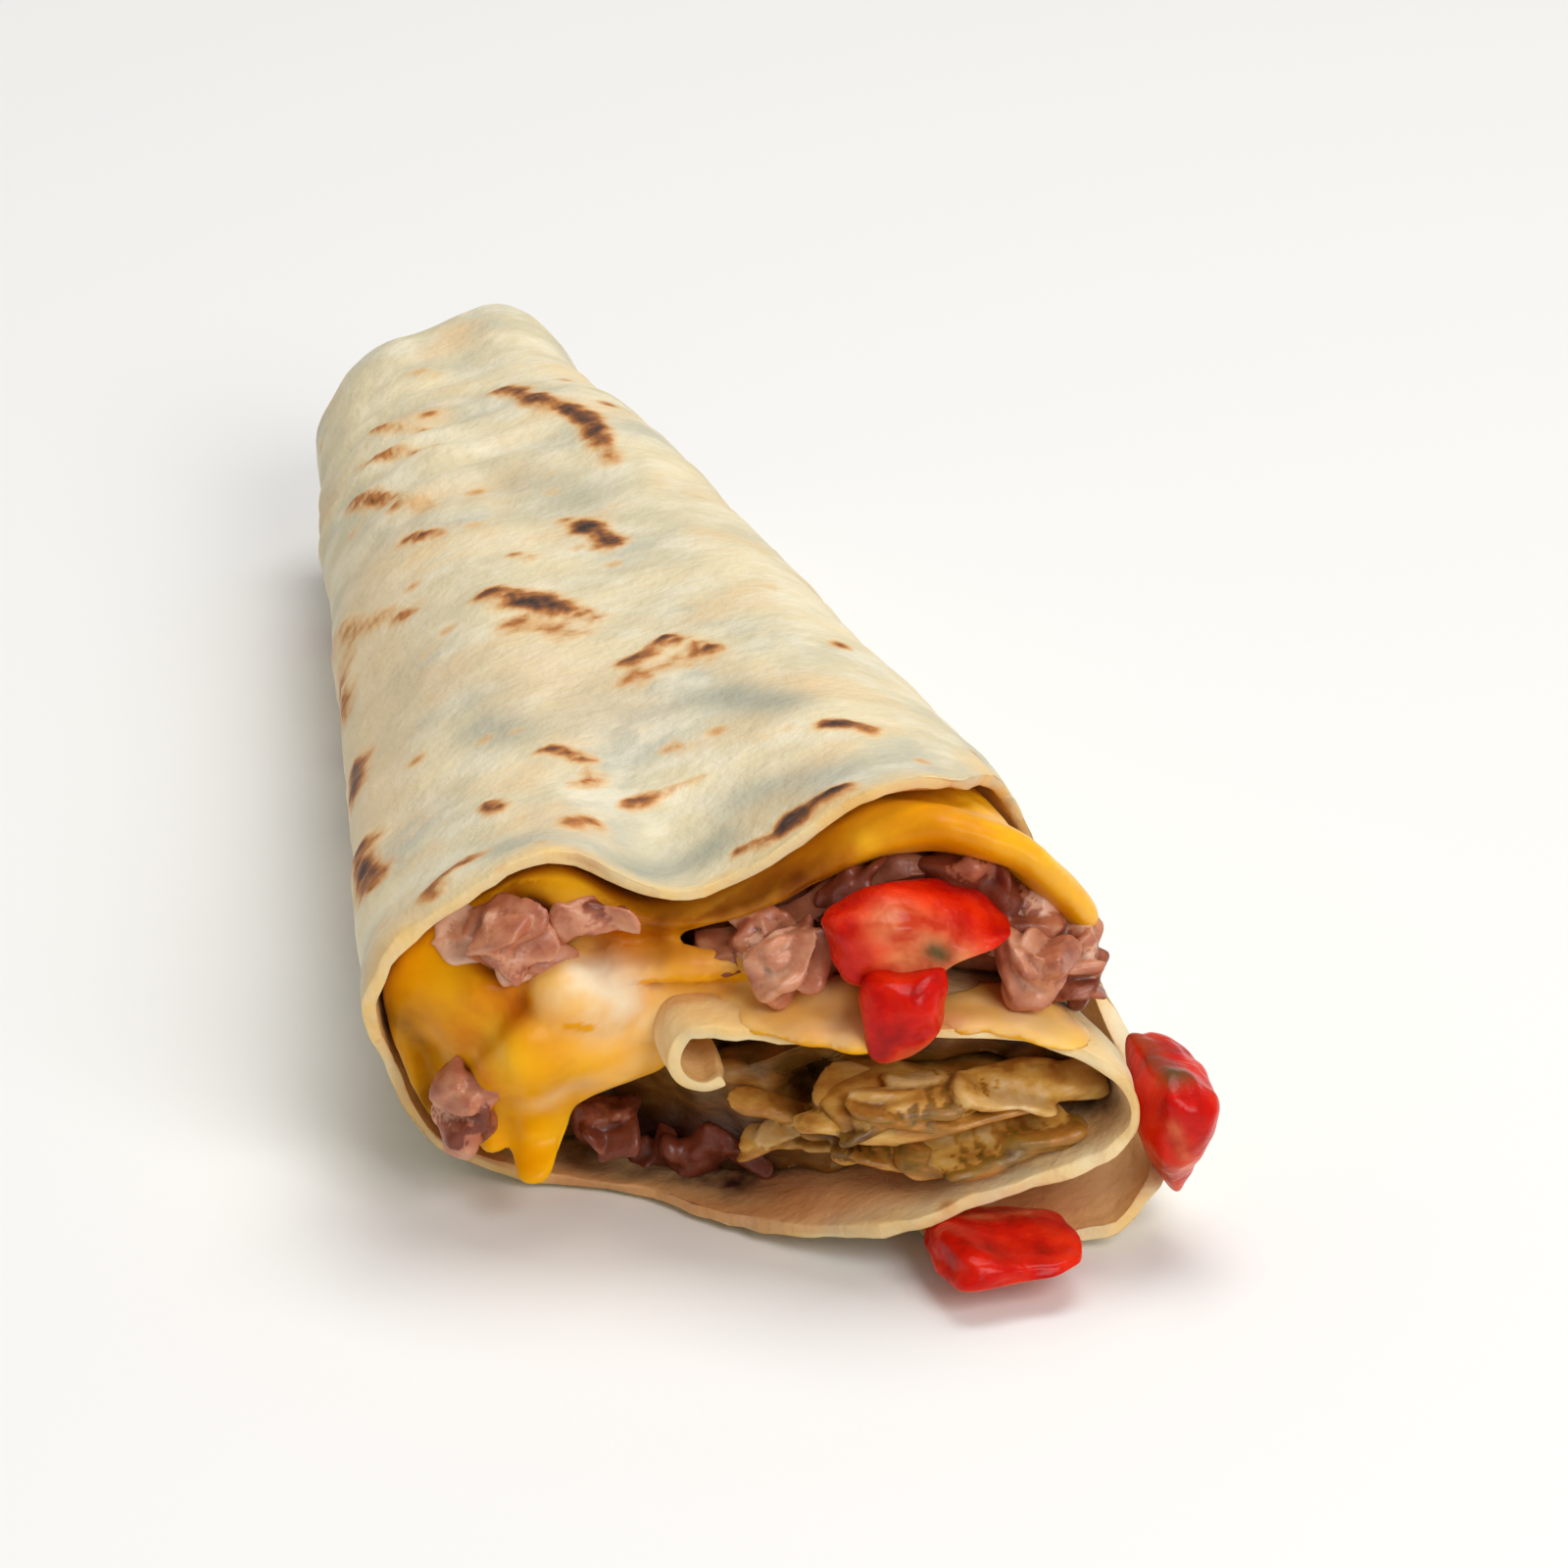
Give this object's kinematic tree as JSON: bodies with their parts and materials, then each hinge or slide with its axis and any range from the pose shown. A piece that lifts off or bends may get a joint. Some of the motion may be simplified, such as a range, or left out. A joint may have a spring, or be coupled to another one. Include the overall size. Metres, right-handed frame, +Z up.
{
  "type": "rolled gozleme",
  "caption": "Thin griddle-baked flatbread rolled up round melted cheese, chopped ham, mushroom and red pepper, with a wide open mouth and a narrow tail.",
  "frame": {"origin": "under the middle of the roll's box, on the surface that the roll lies on", "axes": "+Y along the roll from its open mouth to its tail, +X to the right as seen from the mouth, +Z up"},
  "size_m": [0.0718, 0.177, 0.0411],
  "materials": {
    "bread": "thin griddle-baked flatbread, dry and matte, cream with toasted brown spots",
    "cheese": "melted yellow cheese, glossy and slightly see-through",
    "ham": "cooked chopped ham, moist, pink to pink-brown",
    "mushroom": "fried mushroom and onion, moist, tan to brown",
    "pepper": "cooked red pepper, wet and glossy"
  },
  "bodies": {
    "root": {"bread_roll": "bread", "melted_cheese": "cheese", "chopped_ham": "ham", "pocket_filling": "mushroom", "pepper_strip": "pepper", "pepper_piece": "pepper", "pepper_side": "pepper", "pepper_under": "pepper", "ham_left": "ham", "ham_centre": "ham", "ham_right": "ham", "ham_hollow": "ham", "mushroom_upper": "mushroom", "mushroom_lower": "mushroom"}
  },
  "joints": []
}
